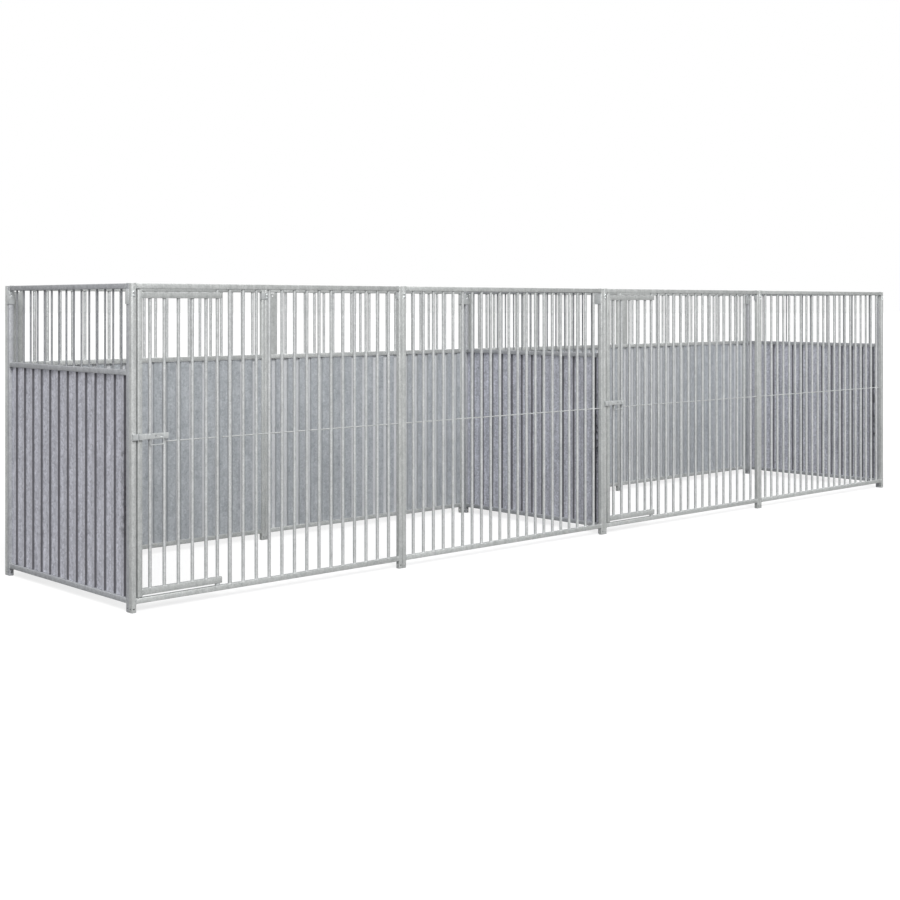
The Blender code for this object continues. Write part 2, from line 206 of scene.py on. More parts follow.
# Hot-dip zinc freezes into spangles about 8 to 15 mm wide that differ in brightness, with cloudy grey
# patches where the layer is thicker and faint runs down the piece. It is matt, with broad soft gloss.
finishes = {
    "hotDipTube": {
        "dark": "#A6A9A8", "light": "#CED0CF", "spangle": 8, "patch": 45, "run": 260,
        "cells": 0.24, "patches": 0.40, "runs": 0.36,
        "smooth": 0.42, "matt": 0.60, "metallic": 0.45, "relief": 0.08, "stain": 0.0,
    },
    "hotDipBar": {
        "dark": "#B2B5B5", "light": "#E0E2E2", "spangle": 8, "patch": 40, "run": 200,
        "cells": 0.20, "patches": 0.40, "runs": 0.40,
        "smooth": 0.38, "matt": 0.55, "metallic": 0.55, "relief": 0.06, "stain": 0.0,
    },
    # Darker copies of the tube and bar finishes, used on the cross walls: painted shade for wall faces
    # turned away from the light.
    "paintedShadeTube": {
        "dark": "#94969A", "light": "#BDBFC2", "spangle": 8, "patch": 45, "run": 260,
        "cells": 0.26, "patches": 0.42, "runs": 0.32,
        "smooth": 0.45, "matt": 0.64, "metallic": 0.45, "relief": 0.10, "stain": 0.0,
    },
    "paintedShadeBar": {
        "dark": "#7E8083", "light": "#A6A8AB", "spangle": 8, "patch": 40, "run": 200,
        "cells": 0.22, "patches": 0.40, "runs": 0.38,
        "smooth": 0.42, "matt": 0.60, "metallic": 0.50, "relief": 0.06, "stain": 0.0,
    },
    # The cladding's crests are painted darker on the walls and lighter on the rear row than the flats,
    # and its folds darker: painted shade and painted highlight, not a colour of the sheet.
    "wallCladdingZinc": {
        "dark": "#A5A6AF", "light": "#F0F1FB", "spangle": 12, "patch": 40, "run": 200,
        "cells": 0.28, "patches": 0.24, "runs": 0.48, "foldShadeShare": 0.95, "foldShadeColour": "#4C4B50",
        "crest": 0.35, "crestPaintedLightColour": "#A3A3A9",
        "smooth": 0.38, "matt": 0.60, "metallic": 0.50, "relief": 0.16, "stain": 0.9,
    },
    "rearCladdingZinc": {
        "dark": "#93989D", "light": "#CACED2", "spangle": 12, "patch": 70, "run": 320,
        "cells": 0.24, "patches": 0.36, "runs": 0.40, "foldShadeShare": 0.60, "foldShadeColour": "#84878A",
        "crest": 0.50, "crestPaintedLightColour": "#EBEBEC",
        "smooth": 0.42, "matt": 0.60, "metallic": 0.45, "relief": 0.10, "stain": 0.0,
    },
    "zincPlatedSteel": {
        "dark": "#C6CACB", "light": "#ECEEEE", "spangle": 8, "patch": 40, "run": 90,
        "cells": 0.15, "patches": 0.50, "runs": 0.35,
        "smooth": 0.30, "matt": 0.46, "metallic": 0.65, "relief": 0.05, "stain": 0.0,
    },
    "weldZinc": {
        "dark": "#9CA09F", "light": "#C8CBCA", "spangle": 6, "patch": 20, "run": 60,
        "cells": 0.20, "patches": 0.55, "runs": 0.25,
        "smooth": 0.50, "matt": 0.70, "metallic": 0.40, "relief": 0.25, "stain": 0.0,
    },
}


zincPattern = {
    "stretch": 0.12,  # height scale of the runs, so that they are long and upright
    "runsPerMetre": 8000,
    "low": 0.28,
    "high": 0.72,
    "bump": 0.6 * mm,
}


def makeZinc(name, look):
    material = bpy.data.materials.new(name)
    material.use_nodes = True
    tree = material.node_tree
    shader = tree.nodes["Principled BSDF"]
    place = addNode(tree, "ShaderNodeTexCoord")
    tall = addNode(tree, "ShaderNodeMapping", None, {
        "Vector": (place, "Object"), "Scale": (1, 1, zincPattern["stretch"])})
    cells = addNode(tree, "ShaderNodeTexVoronoi", None, {
        "Vector": (place, "Object"), "Scale": 1000 / look["spangle"], "Randomness": 1.0})
    grey = addNode(tree, "ShaderNodeRGBToBW", None, {"Color": (cells, "Color")})
    patches = addNode(tree, "ShaderNodeTexNoise", None, {
        "Vector": (place, "Object"), "Scale": 1000 / look["patch"], "Detail": 5.0, "Roughness": 0.62})
    runs = addNode(tree, "ShaderNodeTexNoise", None, {
        "Vector": (tall, "Vector"), "Scale": zincPattern["runsPerMetre"] / look["run"],
        "Detail": 4.0, "Roughness": 0.6})
    total = None
    for source, output, share in (
            (grey, "Val", "cells"), (patches, "Fac", "patches"), (runs, "Fac", "runs")):
        total = addNode(tree, "ShaderNodeMath", {"operation": "MULTIPLY_ADD"}, {
            0: (source, output), 1: look[share], 2: (total, "Value") if total else 0.0})
    spread = addNode(tree, "ShaderNodeMapRange", None, {
        "Value": (total, "Value"), "From Min": zincPattern["low"], "From Max": zincPattern["high"]})
    colour = addNode(tree, "ShaderNodeMix", {"data_type": "RGBA"}, {
        0: (spread, "Result"), 6: hexColour(look["dark"]), 7: hexColour(look["light"])})
    # Painted light on the ribbed sheets: the crests are painted darker or lighter than the flats, and
    # the folds are painted darker as shade.
    for attribute, strength, tint in (
            ("crestPaintedLight", "crest", "crestPaintedLightColour"), ("foldPaintedShade", "foldShadeShare", "foldShadeColour")):
        if strength not in look:
            continue
        marked = addNode(tree, "ShaderNodeAttribute", {"attribute_name": attribute})
        share = calc(tree, "MULTIPLY", (marked, "Fac"), look[strength])
        colour = addNode(tree, "ShaderNodeMix", {"data_type": "RGBA"}, {
            0: (share, "Value"), 6: (colour, 2), 7: hexColour(look[tint])})
    if look["stain"]:
        colour = addStain(tree, place, patches, colour, look["stain"])
    tree.links.new(colour.outputs[2], shader.inputs["Base Color"])
    gloss = addNode(tree, "ShaderNodeMapRange", None, {
        "Value": (grey, "Val"), "To Min": look["smooth"], "To Max": look["matt"]})
    tree.links.new(gloss.outputs["Result"], shader.inputs["Roughness"])
    shader.inputs["Metallic"].default_value = look["metallic"]
    relief = addNode(tree, "ShaderNodeBump", None, {
        "Strength": look["relief"], "Distance": zincPattern["bump"], "Height": (total, "Value")})
    tree.links.new(relief.outputs["Normal"], shader.inputs["Normal"])
    return material


def addStain(tree, place, patches, colour, strength):
    # Dark weathering on the cladding close to a wall's front post
    stain = {
        "y": cadLow.y + 0.14, "reach": 0.12, "low": 0.05, "high": 1.35, "full": 0.1,
        "patchLow": 0.42, "patchHigh": 0.62, "colour": "#3D3C40"}
    where = addNode(tree, "ShaderNodeSeparateXYZ", None, {"Vector": (place, "Object")})
    near = addNode(tree, "ShaderNodeMapRange", {"interpolation_type": "SMOOTHSTEP"}, {
        "Value": (where, "Y"), "From Min": stain["y"] - stain["reach"] / 2,
        "From Max": stain["y"] + stain["reach"] / 2, "To Min": 1.0, "To Max": 0.0})
    middle = (stain["low"] + stain["high"]) / 2
    off = calc(tree, "SUBTRACT", (where, "Z"), middle)
    away = calc(tree, "ABSOLUTE", (off, "Value"), 0.0)
    band = addNode(tree, "ShaderNodeMapRange", {"interpolation_type": "SMOOTHSTEP"}, {
        "Value": (away, "Value"), "From Min": stain["full"], "From Max": middle - stain["low"],
        "To Min": 1.0, "To Max": 0.0})
    rough = addNode(tree, "ShaderNodeMapRange", None, {
        "Value": (patches, "Fac"), "From Min": stain["patchLow"], "From Max": stain["patchHigh"]})
    both = calc(tree, "MULTIPLY", (near, "Result"), (band, "Result"))
    spots = calc(tree, "MULTIPLY", (both, "Value"), (rough, "Result"))
    share = calc(tree, "MULTIPLY", (spots, "Value"), strength)
    return addNode(tree, "ShaderNodeMix", {"data_type": "RGBA"}, {
        0: (share, "Value"), 6: (colour, 2), 7: hexColour(stain["colour"])})


zinc = {name: makeZinc(name, look) for name, look in finishes.items()}
print("finishes made")


# Geometry Nodes trees for what repeats

def newTree(name, sockets):
    tree = bpy.data.node_groups.new(name, "GeometryNodeTree")
    tree.interface.new_socket("Geometry", in_out="INPUT", socket_type="NodeSocketGeometry")
    for label, kind in sockets.items():
        tree.interface.new_socket(label, in_out="INPUT", socket_type="NodeSocket" + kind)
    tree.interface.new_socket("Material", in_out="INPUT", socket_type="NodeSocketMaterial")
    tree.interface.new_socket("Geometry", in_out="OUTPUT", socket_type="NodeSocketGeometry")
    return tree, addNode(tree, "NodeGroupInput")


def endTree(tree, given, last, output):
    real = addNode(tree, "GeometryNodeRealizeInstances", None, {"Geometry": (last, output)})
    painted = addNode(tree, "GeometryNodeSetMaterial", None, {
        "Geometry": (real, "Geometry"), "Material": (given, "Material")})
    addNode(tree, "NodeGroupOutput", None, {"Geometry": (painted, "Geometry")})
    return tree


def joined(tree, parts):
    join = addNode(tree, "GeometryNodeJoinGeometry")
    for node, output in parts:
        tree.links.new(node.outputs[output], join.inputs[0])
    return join


def makeBarTree():
    # A row of round bars, each with a weld collar at both ends. Start is the first bar's middle.
    tree, given = newTree("barRow", {
        "Count": "Int", "Start": "Vector", "Step": "Vector", "Length": "Float", "Radius": "Float",
        "Collar": "Float", "Sides": "Int"})
    row = addNode(tree, "GeometryNodeMeshLine", None, {
        "Count": (given, "Count"), "Start Location": (given, "Start"), "Offset": (given, "Step")})
    bar = addNode(tree, "GeometryNodeMeshCylinder", None, {
        "Vertices": (given, "Sides"), "Radius": (given, "Radius"), "Depth": (given, "Length")})
    wide = calc(tree, "ADD", (given, "Radius"), (given, "Collar"))
    weld = addNode(tree, "GeometryNodeMeshCone", None, {
        "Vertices": (given, "Sides"), "Radius Top": (given, "Radius"), "Radius Bottom": (wide, "Value"),
        "Depth": (given, "Collar")})
    half = calc(tree, "MULTIPLY", (given, "Length"), 0.5)
    down = calc(tree, "MULTIPLY", (half, "Value"), -1.0)
    ends = [(bar, "Mesh")]
    for height, turn in ((down, 0.0), (half, math.pi)):
        at = addNode(tree, "ShaderNodeCombineXYZ", None, {"Z": (height, "Value")})
        moved = addNode(tree, "GeometryNodeTransform", None, {
            "Geometry": (weld, "Mesh"), "Translation": (at, "Vector"), "Rotation": (turn, 0.0, 0.0)})
        ends.append((moved, "Geometry"))
    copies = addNode(tree, "GeometryNodeInstanceOnPoints", None, {
        "Points": (row, "Mesh"), "Instance": (joined(tree, ends), "Geometry")})
    return endTree(tree, given, copies, "Instances")


def makeSheetTree():
    # Trapezoidal sheet: a fine grid folded into ribs, a little slack, then given its thickness
    tree, given = newTree("ribbedSheet", {
        "Width": "Float", "Height": "Float", "Ribs": "Int", "Columns": "Int", "Rows": "Int",
        "Crest": "Float", "Slope": "Float", "Flat Depth": "Float", "Crest Depth": "Float",
        "Fold Shade Spread": "Float", "Thickness": "Float", "Dent": "Float", "Seed": "Float"})
    strips = calc(tree, "MULTIPLY", (given, "Ribs"), (given, "Columns"))
    across = calc(tree, "ADD", (strips, "Value"), 1.0)
    grid = addNode(tree, "GeometryNodeMeshGrid", None, {
        "Size X": (given, "Width"), "Size Y": (given, "Height"),
        "Vertices X": (across, "Value"), "Vertices Y": (given, "Rows")})
    place = addNode(tree, "GeometryNodeInputPosition")
    split = addNode(tree, "ShaderNodeSeparateXYZ", None, {"Vector": (place, "Position")})
    pitch = calc(tree, "DIVIDE", (given, "Width"), (given, "Ribs"))
    halfWidth = calc(tree, "MULTIPLY", (given, "Width"), 0.5)
    along = calc(tree, "ADD", (split, "X"), (halfWidth, "Value"))
    turns = calc(tree, "DIVIDE", (along, "Value"), (pitch, "Value"))
    share = calc(tree, "FRACT", (turns, "Value"), 0.0)
    centred = calc(tree, "SUBTRACT", (share, "Value"), 0.5)
    size = calc(tree, "ABSOLUTE", (centred, "Value"), 0.0)
    off = calc(tree, "MULTIPLY", (size, "Value"), (pitch, "Value"))
    halfCrest = calc(tree, "MULTIPLY", (given, "Crest"), 0.5)
    foot = calc(tree, "ADD", (halfCrest, "Value"), (given, "Slope"))
    upFlank = addNode(tree, "ShaderNodeMapRange", None, {
        "Value": (off, "Value"), "From Min": (halfCrest, "Value"), "From Max": (foot, "Value")})
    fold = addNode(tree, "ShaderNodeMapRange", None, {
        "Value": (upFlank, "Result"), "To Min": (given, "Crest Depth"), "To Max": (given, "Flat Depth")})
    slack = addNode(tree, "ShaderNodeTexNoise", {"noise_dimensions": "4D"}, {
        "Vector": (place, "Position"), "W": (given, "Seed"), "Scale": 3.2, "Detail": 2.0})
    swing = calc(tree, "SUBTRACT", (slack, "Fac"), 0.5)
    bulge = calc(tree, "MULTIPLY", (swing, "Value"), (given, "Dent"))
    depth = calc(tree, "ADD", (fold, "Result"), (bulge, "Value"))
    folded = addNode(tree, "ShaderNodeCombineXYZ", None, {
        "X": (split, "X"), "Y": (depth, "Value"), "Z": (split, "Y")})
    sheet = addNode(tree, "GeometryNodeSetPosition", None, {
        "Geometry": (grid, "Mesh"), "Position": (folded, "Vector")})
    # Painted shade: this mask covers each rib's flanks and runs a little on to the flats, and the finish
    # darkens the sheet there as if shade fell in the folds.
    halfSlope = calc(tree, "MULTIPLY", (given, "Slope"), 0.5)
    flankMiddle = calc(tree, "ADD", (halfCrest, "Value"), (halfSlope, "Value"))
    fromFlank = calc(tree, "SUBTRACT", (off, "Value"), (flankMiddle, "Value"))
    away = calc(tree, "ABSOLUTE", (fromFlank, "Value"), 0.0)
    foldShadeEnd = calc(tree, "ADD", (halfSlope, "Value"), (given, "Fold Shade Spread"))
    foldShadeMask = addNode(tree, "ShaderNodeMapRange", {"interpolation_type": "SMOOTHSTEP"}, {
        "Value": (away, "Value"), "From Min": (halfSlope, "Value"), "From Max": (foldShadeEnd, "Value"),
        "To Min": 1.0, "To Max": 0.0})
    # Painted light: this mask covers each rib's crest, which the finish paints darker than the flats on
    # the walls and lighter than the flats on the rear row.
    crest = calc(tree, "SUBTRACT", 1.0, (upFlank, "Result"))
    kind = {"data_type": "FLOAT", "domain": "POINT"}
    for name, value in (("foldPaintedShade", (foldShadeMask, "Result")), ("crestPaintedLight", (crest, "Value"))):
        sheet = addNode(tree, "GeometryNodeStoreNamedAttribute", kind, {
            "Geometry": (sheet, "Geometry"), "Name": name, "Value": value})
    outside = addNode(tree, "GeometryNodeExtrudeMesh", None, {
        "Mesh": (sheet, "Geometry"), "Offset Scale": (given, "Thickness"), "Individual": False})
    inside = addNode(tree, "GeometryNodeFlipFaces", None, {"Mesh": (sheet, "Geometry")})
    shell = joined(tree, [(outside, "Mesh"), (inside, "Mesh")])
    closed = addNode(tree, "GeometryNodeMergeByDistance", None, {
        "Geometry": (shell, "Geometry"), "Distance": 0.01 * mm})
    return endTree(tree, given, closed, "Geometry")


def makeBeadTree():
    # A rippled weld bead round a square tube's end, at each given point
    tree, given = newTree("weldBeads", {
        "Wide": "Float", "Tall": "Float", "Corner": "Float", "Bead": "Float", "Ripple": "Float"})
    loop = addNode(tree, "GeometryNodeCurvePrimitiveQuadrilateral", None, {
        "Width": (given, "Wide"), "Height": (given, "Tall")})
    rounded = addNode(tree, "GeometryNodeFilletCurve", {"mode": "POLY"}, {
        "Curve": (loop, "Curve"), "Radius": (given, "Corner"), "Count": tube["cornerSteps"],
        "Limit Radius": True})
    fine = addNode(tree, "GeometryNodeResampleCurve", None, {
        "Curve": (rounded, "Curve"), "Count": tube["beadSteps"]})
    ring = addNode(tree, "GeometryNodeCurvePrimitiveCircle", None, {
        "Resolution": tube["beadSides"], "Radius": (given, "Bead")})
    bead = addNode(tree, "GeometryNodeCurveToMesh", None, {
        "Curve": (fine, "Curve"), "Profile Curve": (ring, "Curve")})
    stood = addNode(tree, "GeometryNodeTransform", None, {
        "Geometry": (bead, "Mesh"), "Rotation": (math.pi / 2, 0.0, math.pi / 2)})
    copies = addNode(tree, "GeometryNodeInstanceOnPoints", None, {
        "Points": (given, "Geometry"), "Instance": (stood, "Geometry")})
    real = addNode(tree, "GeometryNodeRealizeInstances", None, {"Geometry": (copies, "Instances")})
    noise = addNode(tree, "ShaderNodeTexNoise", None, {"Scale": 190.0, "Detail": 1.0})
    swing = calc(tree, "SUBTRACT", (noise, "Fac"), 0.5)
    height = calc(tree, "MULTIPLY", (swing, "Value"), (given, "Ripple"))
    normal = addNode(tree, "GeometryNodeInputNormal")
    push = addNode(tree, "ShaderNodeVectorMath", {"operation": "SCALE"}, {
        0: (normal, "Normal"), "Scale": (height, "Value")})
    rippled = addNode(tree, "GeometryNodeSetPosition", None, {
        "Geometry": (real, "Geometry"), "Offset": (push, "Vector")})
    return endTree(tree, given, rippled, "Geometry")


def makeScrewTree():
    # Hexagon head on a washer at each given point, pointing to -Y
    tree, given = newTree("hexScrews", {
        "Head": "Float", "Head Tall": "Float", "Washer": "Float", "Washer Tall": "Float",
        "Shank": "Float", "Shank Tall": "Float"})
    chamferShare, topShare = 0.25, 0.86
    chamfer = calc(tree, "MULTIPLY", (given, "Head Tall"), chamferShare)
    body = calc(tree, "SUBTRACT", (given, "Head Tall"), (chamfer, "Value"))
    slim = calc(tree, "MULTIPLY", (given, "Head"), topShare)
    washer = addNode(tree, "GeometryNodeMeshCylinder", None, {
        "Vertices": 20, "Radius": (given, "Washer"), "Depth": (given, "Washer Tall")})
    hexagon = addNode(tree, "GeometryNodeMeshCylinder", None, {
        "Vertices": 6, "Radius": (given, "Head"), "Depth": (body, "Value")})
    top = addNode(tree, "GeometryNodeMeshCone", None, {
        "Vertices": 6, "Radius Top": (slim, "Value"), "Radius Bottom": (given, "Head"),
        "Depth": (chamfer, "Value")})
    end = addNode(tree, "GeometryNodeMeshCylinder", None, {
        "Vertices": 12, "Radius": (given, "Shank"), "Depth": (given, "Shank Tall")})
    washerRise = calc(tree, "MULTIPLY", (given, "Washer Tall"), 0.5)
    halfBody = calc(tree, "MULTIPLY", (body, "Value"), 0.5)
    hexagonRise = calc(tree, "ADD", (given, "Washer Tall"), (halfBody, "Value"))
    topRise = calc(tree, "ADD", (given, "Washer Tall"), (body, "Value"))
    endRise = calc(tree, "MULTIPLY", (given, "Shank Tall"), 0.5)
    parts = []
    for node, height in ((washer, washerRise), (hexagon, hexagonRise), (top, topRise), (end, endRise)):
        at = addNode(tree, "ShaderNodeCombineXYZ", None, {"Z": (height, "Value")})
        moved = addNode(tree, "GeometryNodeTransform", None, {
            "Geometry": (node, "Mesh"), "Translation": (at, "Vector")})
        parts.append((moved, "Geometry"))
    laid = addNode(tree, "GeometryNodeTransform", None, {
        "Geometry": (joined(tree, parts), "Geometry"), "Rotation": (math.pi / 2, 0.0, 0.0)})
    copies = addNode(tree, "GeometryNodeInstanceOnPoints", None, {
        "Points": (given, "Geometry"), "Instance": (laid, "Geometry")})
    return endTree(tree, given, copies, "Instances")


trees = {
    "bars": makeBarTree(), "sheet": makeSheetTree(), "beads": makeBeadTree(),
    "screws": makeScrewTree()}


def grown(treeName, material, values, points=((0, 0, 0),)):
    # The plain mesh that a tree makes on these points
    tree = trees[treeName]
    seed = bpy.data.meshes.new("seed")
    seed.from_pydata([tuple(p) for p in points], [], [])
    holder = bpy.data.objects.new("holder", seed)
    bpy.context.scene.collection.objects.link(holder)
    modifier = holder.modifiers.new("nodes", "NODES")
    modifier.node_group = tree
    for item in tree.interface.items_tree:
        if item.in_out == "INPUT" and item.name in values:
            modifier[item.identifier] = values[item.name]
        if item.in_out == "INPUT" and item.name == "Material":
            modifier[item.identifier] = zinc[material]
    graph = bpy.context.evaluated_depsgraph_get()
    mesh = bpy.data.meshes.new_from_object(holder.evaluated_get(graph), depsgraph=graph)
    bpy.data.objects.remove(holder)
    return mesh


def barRow(material, first, step, count, low, high, radius=bars["radius"]):
    return grown("bars", material, {
        "Count": count, "Start": (first, tube["side"] / 2, (low + high) / 2), "Step": (step, 0.0, 0.0),
        "Length": high - low, "Radius": radius, "Collar": bars["collar"], "Sides": bars["sides"]})


def beadsAt(points, tall=tube["side"]):
    return grown("beads", "weldZinc", {
        "Wide": tube["side"], "Tall": tall, "Corner": tube["corner"],
        "Bead": tube["bead"], "Ripple": tube["beadRipple"]}, points)


# Mesh shapes in code

# Edges that turn by more than this many degrees look sharp
sharpAngles = {
    "galvanised_frame": 38,
    "galvanised_bar": 38,
    "galvanised_sheet": 60,
    "zinc_hardware": 30,
}


def arc(u, v, radius, first, turn, steps):
    # Points on part of a circle, from this angle and through this turn, in degrees
    angles = [math.radians(first + turn * step / steps) for step in range(steps + 1)]
    return [(u + radius * math.cos(a), v + radius * math.sin(a)) for a in angles]


def skin(bm, rings, capped=True):
    # Faces between each ring and the next, and over the first and the last
    for lower, upper in zip(rings, rings[1:]):
        for at in range(len(lower)):
            after = (at + 1) % len(lower)
            bm.faces.new((lower[at], lower[after], upper[after], upper[at]))
    if capped:
        bm.faces.new(rings[0][::-1])
        bm.faces.new(rings[-1])


def addTube(bm, low, high, axis, openLow=False):
    # A rolled square tube between two corners of its box. Its open end shows its wall and hollow.
    others = [a for a in range(3) if a != axis]
    if axis == 1:
        others.reverse()
    middle = [(low[a] + high[a]) / 2 for a in others]
    halves = [(high[a] - low[a]) / 2 for a in others]

    def ring(along, inset, corner):
        verts = []
        for u, v, first in ((1, 1, 0), (-1, 1, 90), (-1, -1, 180), (1, -1, 270)):
            u, v = [to * (half - inset - corner) for to, half in zip((u, v), halves)]
            for offU, offV in arc(u, v, corner, first, 90, tube["cornerSteps"]):
                point = [0, 0, 0]
                point[axis] = along
                point[others[0]] = middle[0] + offU
                point[others[1]] = middle[1] + offV
                verts.append(bm.verts.new(point))
        return verts

    edge, corner, wall = tube["endRound"], tube["corner"], tube["wall"]
    deep, soft = tube["footHollow"], tube["footRound"]
    start, end, bevel = low[axis], high[axis], edge * 0.3
    if openLow:
        steps = [
            (start + deep, wall, corner / 2), (start + soft, wall, corner / 2),
            (start + soft / 4, wall + soft / 3, corner / 2), (start, soft / 2 + wall, corner / 2),
            (start, soft / 2, corner), (start + soft / 4, soft / 6, corner), (start + soft, 0, corner)]
    else:
        steps = [
            (start, edge, corner - edge / 2), (start + bevel, bevel, corner), (start + edge, 0, corner)]
    steps += [(end - edge, 0, corner), (end - bevel, bevel, corner), (end, edge, corner - edge / 2)]
    skin(bm, [ring(*step) for step in steps])


def addRod(bm, start, end, radius, sides=12):
    start, end = Vector(start), Vector(end)
    span = end - start
    turn = span.to_track_quat("Z", "Y").to_matrix().to_4x4()
    matrix = Matrix.Translation((start + end) / 2) @ turn
    bmesh.ops.create_cone(
        bm, cap_ends=True, segments=sides, radius1=radius, radius2=radius, depth=span.length,
        matrix=matrix)


def addBlock(bm, low, high, edge=0.0):
    size = [b - a for a, b in zip(low, high)]
    middle = [(a + b) / 2 for a, b in zip(low, high)]
    matrix = Matrix.Translation(middle) @ Matrix.Diagonal((*size, 1.0))
    made = bmesh.ops.create_cube(bm, size=1.0, matrix=matrix)
    if edge:
        edges = list({e for v in made["verts"] for e in v.link_edges})
        bmesh.ops.bevel(bm, geom=edges, offset=edge, segments=2, profile=0.6, affect="EDGES")


def addBentRod(bm, points, radius, sides=10):
    # A round rod through these points, with a ring at each
    points = [Vector(p) for p in points]
    rings = []
    for at, point in enumerate(points):
        before = points[max(at - 1, 0)]
        after = points[min(at + 1, len(points) - 1)]
        turn = (after - before).to_track_quat("Z", "Y")
        rings.append([bm.verts.new(point + turn @ Vector((
            radius * math.cos(2 * math.pi * s / sides), radius * math.sin(2 * math.pi * s / sides), 0)))
            for s in range(sides)])
    skin(bm, rings)


def shaped(fill, material):
    bm = bmesh.new()
    fill(bm)
    bmesh.ops.recalc_face_normals(bm, faces=bm.faces)
    mesh = bpy.data.meshes.new("shape")
    bm.to_mesh(mesh)
    bm.free()
    mesh.materials.append(zinc[material])
    return mesh


def drilled(mesh, fillHoles):
    # The mesh with these holes cut through it
    objects = []
    cutter = bpy.data.meshes.new("holes")
    bm = bmesh.new()
    fillHoles(bm)
    bm.to_mesh(cutter)
    bm.free()
    for each in (mesh, cutter):
        objects.append(bpy.data.objects.new("work", each))
        bpy.context.scene.collection.objects.link(objects[-1])
    cut = objects[0].modifiers.new("holes", "BOOLEAN")
    cut.operation = "DIFFERENCE"
    cut.object = objects[1]
    graph = bpy.context.evaluated_depsgraph_get()
    result = bpy.data.meshes.new_from_object(objects[0].evaluated_get(graph), depsgraph=graph)
    for each in objects:
        bpy.data.objects.remove(each)
    return result


def piece(name, meshes, matrix, body, slot, nodes):
    # One finished piece: its meshes joined in place, riding on a body and standing for CAD nodes
    bm = bmesh.new()
    materials = []
    for mesh in meshes:
        part = mesh.copy()
        part.transform(matrix)
        if matrix.determinant() < 0:
            part.flip_normals()
        before = len(bm.faces)
        bm.from_mesh(part)
        bm.faces.ensure_lookup_table()
        own = list(part.materials)
        for material in own:
            if material not in materials:
                materials.append(material)
        for face in bm.faces[before:]:
            face.material_index = materials.index(own[face.material_index])
        bpy.data.meshes.remove(part)
    whole = bpy.data.meshes.new(name)
    bm.to_mesh(whole)
    bm.free()
    for material in materials:
        whole.materials.append(material)
    whole.shade_smooth()
    whole.set_sharp_from_angle(angle=math.radians(sharpAngles[slot]))
    made = bpy.data.objects.new(name, whole)
    bpy.context.scene.collection.objects.link(made)
    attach(made, body)
    if nodes:
        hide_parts(*nodes)
    return made


# Posts and rails

side = tube["side"]
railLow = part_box("front_1_bottom_rail")[0].z
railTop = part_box("front_1_bottom_rail")[1].z
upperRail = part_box("front_1_top_rail")[0].z
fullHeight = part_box("front_1_top_rail")[1].z
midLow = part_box("left_wall_sheet")[1].z + cladding["edgeGap"]
midTop = midLow + side


def footHoles(bm, x):
    # The ground angle's hole, through each face of the foot
    up, radius, sides = tube["footHoleUp"], tube["footHole"], tube["holeSides"]
    addRod(bm, (x + side / 2, -side, up), (x + side / 2, 2 * side, up), radius, sides)
    addRod(bm, (x - side, side / 2, up), (x + 2 * side, side / 2, up), radius, sides)


def makePosts(span, finish):
    def fill(bm):
        for x in (0, span - side):
            addTube(bm, (x, 0, 0), (x + side, side, fullHeight), 2, openLow=True)

    def holes(bm):
        for x in (0, span - side):
            footHoles(bm, x)

    return drilled(shaped(fill, finish), holes)


def makeRails(span, lows, finish):
    inset = tube["railInset"]

    def fill(bm):
        for low in lows:
            addTube(bm, (side - mm, inset, low), (span - side + mm, side - inset, low + side), 0)

    points = [(x, side / 2, low + side / 2) for low in lows for x in (side + mm, span - side - mm)]
    return [shaped(fill, finish), beadsAt(points)]


def tieRod(lowX, highX):
    start, end = [(x, side / 2, bars["rodUp"]) for x in (lowX, highX)]
    return shaped(lambda bm: addRod(bm, start, end, bars["rodRadius"]), "hotDipBar")


def panelPlace(n):
    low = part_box(f"front_{n}_left_post")[0]
    return Matrix.Translation((low.x, low.y, 0))


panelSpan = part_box("front_1_right_post")[1].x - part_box("front_1_left_post")[0].x
frontPitch = (panelSpan + mm - side) / (bars["frontCount"] + 1)
frontPosts = makePosts(panelSpan, "hotDipTube")
frontRails = makeRails(panelSpan, (railLow, upperRail), "hotDipTube")
sunk = bars["sunk"]
grille = [
    barRow(
        "hotDipBar", side / 2 + frontPitch, frontPitch, bars["frontCount"], railTop - sunk,
        upperRail + sunk),
    tieRod(side, panelSpan - side),
]
jambPitch = (panelSpan + mm - side / 2 - bars["jambX"]) / bars["jambGaps"]
fixedBars = [
    barRow("hotDipBar", bars["jambX"], 0.0, 1, railTop, upperRail, bars["jambRadius"]),
    barRow("hotDipBar", bars["jambX"] + jambPitch, jambPitch, bars["jambGaps"] - 1, railTop, upperRail),
    tieRod(bars["hingeX"] + bars["rodClearance"], panelSpan - side),
]


def makeHingeBar():
    # Plain round bar with the loose collar that carries the door
    x, y, sides = bars["hingeX"], side / 2, hingeCollar["sides"]

    def collar(bm):
        inner, outer, edge = hingeCollar["inner"], hingeCollar["outer"], hingeCollar["edge"]
        low, high = railTop + gap, door["railUps"][0] - gap
        rings = []
        for radius, up in (
                (inner, low), (outer - edge, low), (outer, low + edge), (outer, high - edge),
                (outer - edge, high), (inner, high)):
            rings.append([bm.verts.new((u, v, up)) for u, v in arc(x, y, radius, 0, 360, sides)[:-1]])
        skin(bm, rings + rings[:1], capped=False)

    bar = barRow("hotDipBar", x, 0.0, 1, railTop, upperRail)
    return [bar, shaped(collar, "zincPlatedSteel")]


hingeBar = makeHingeBar()
for n in (1, 2, 3, 4):
    here = panelPlace(n)
    name = f"front_{n}"
    nodes = [f"{name}_left_post", f"{name}_right_post"]
    if n in (1, 3):
        nodes += [f"{name}_top_rail", f"{name}_bottom_rail"]
    piece(f"{name}_tubes", [frontPosts, *frontRails], here, "frame", "galvanised_frame", nodes)
    if n in (1, 3):
        piece(f"{name}_side_bars", fixedBars, here, "frame", "galvanised_bar", [f"{name}_fixed_bars"])
        piece(f"{name}_hinge_rod", hingeBar, here, "frame", "galvanised_bar", [f"{name}_hinge_bar"])
    else:
        piece(f"{name}_bars", grille, here, "frame", "galvanised_bar", [f"{name}_grille"])
print("front row made")


# Sheeted panels: cross walls and the rear row

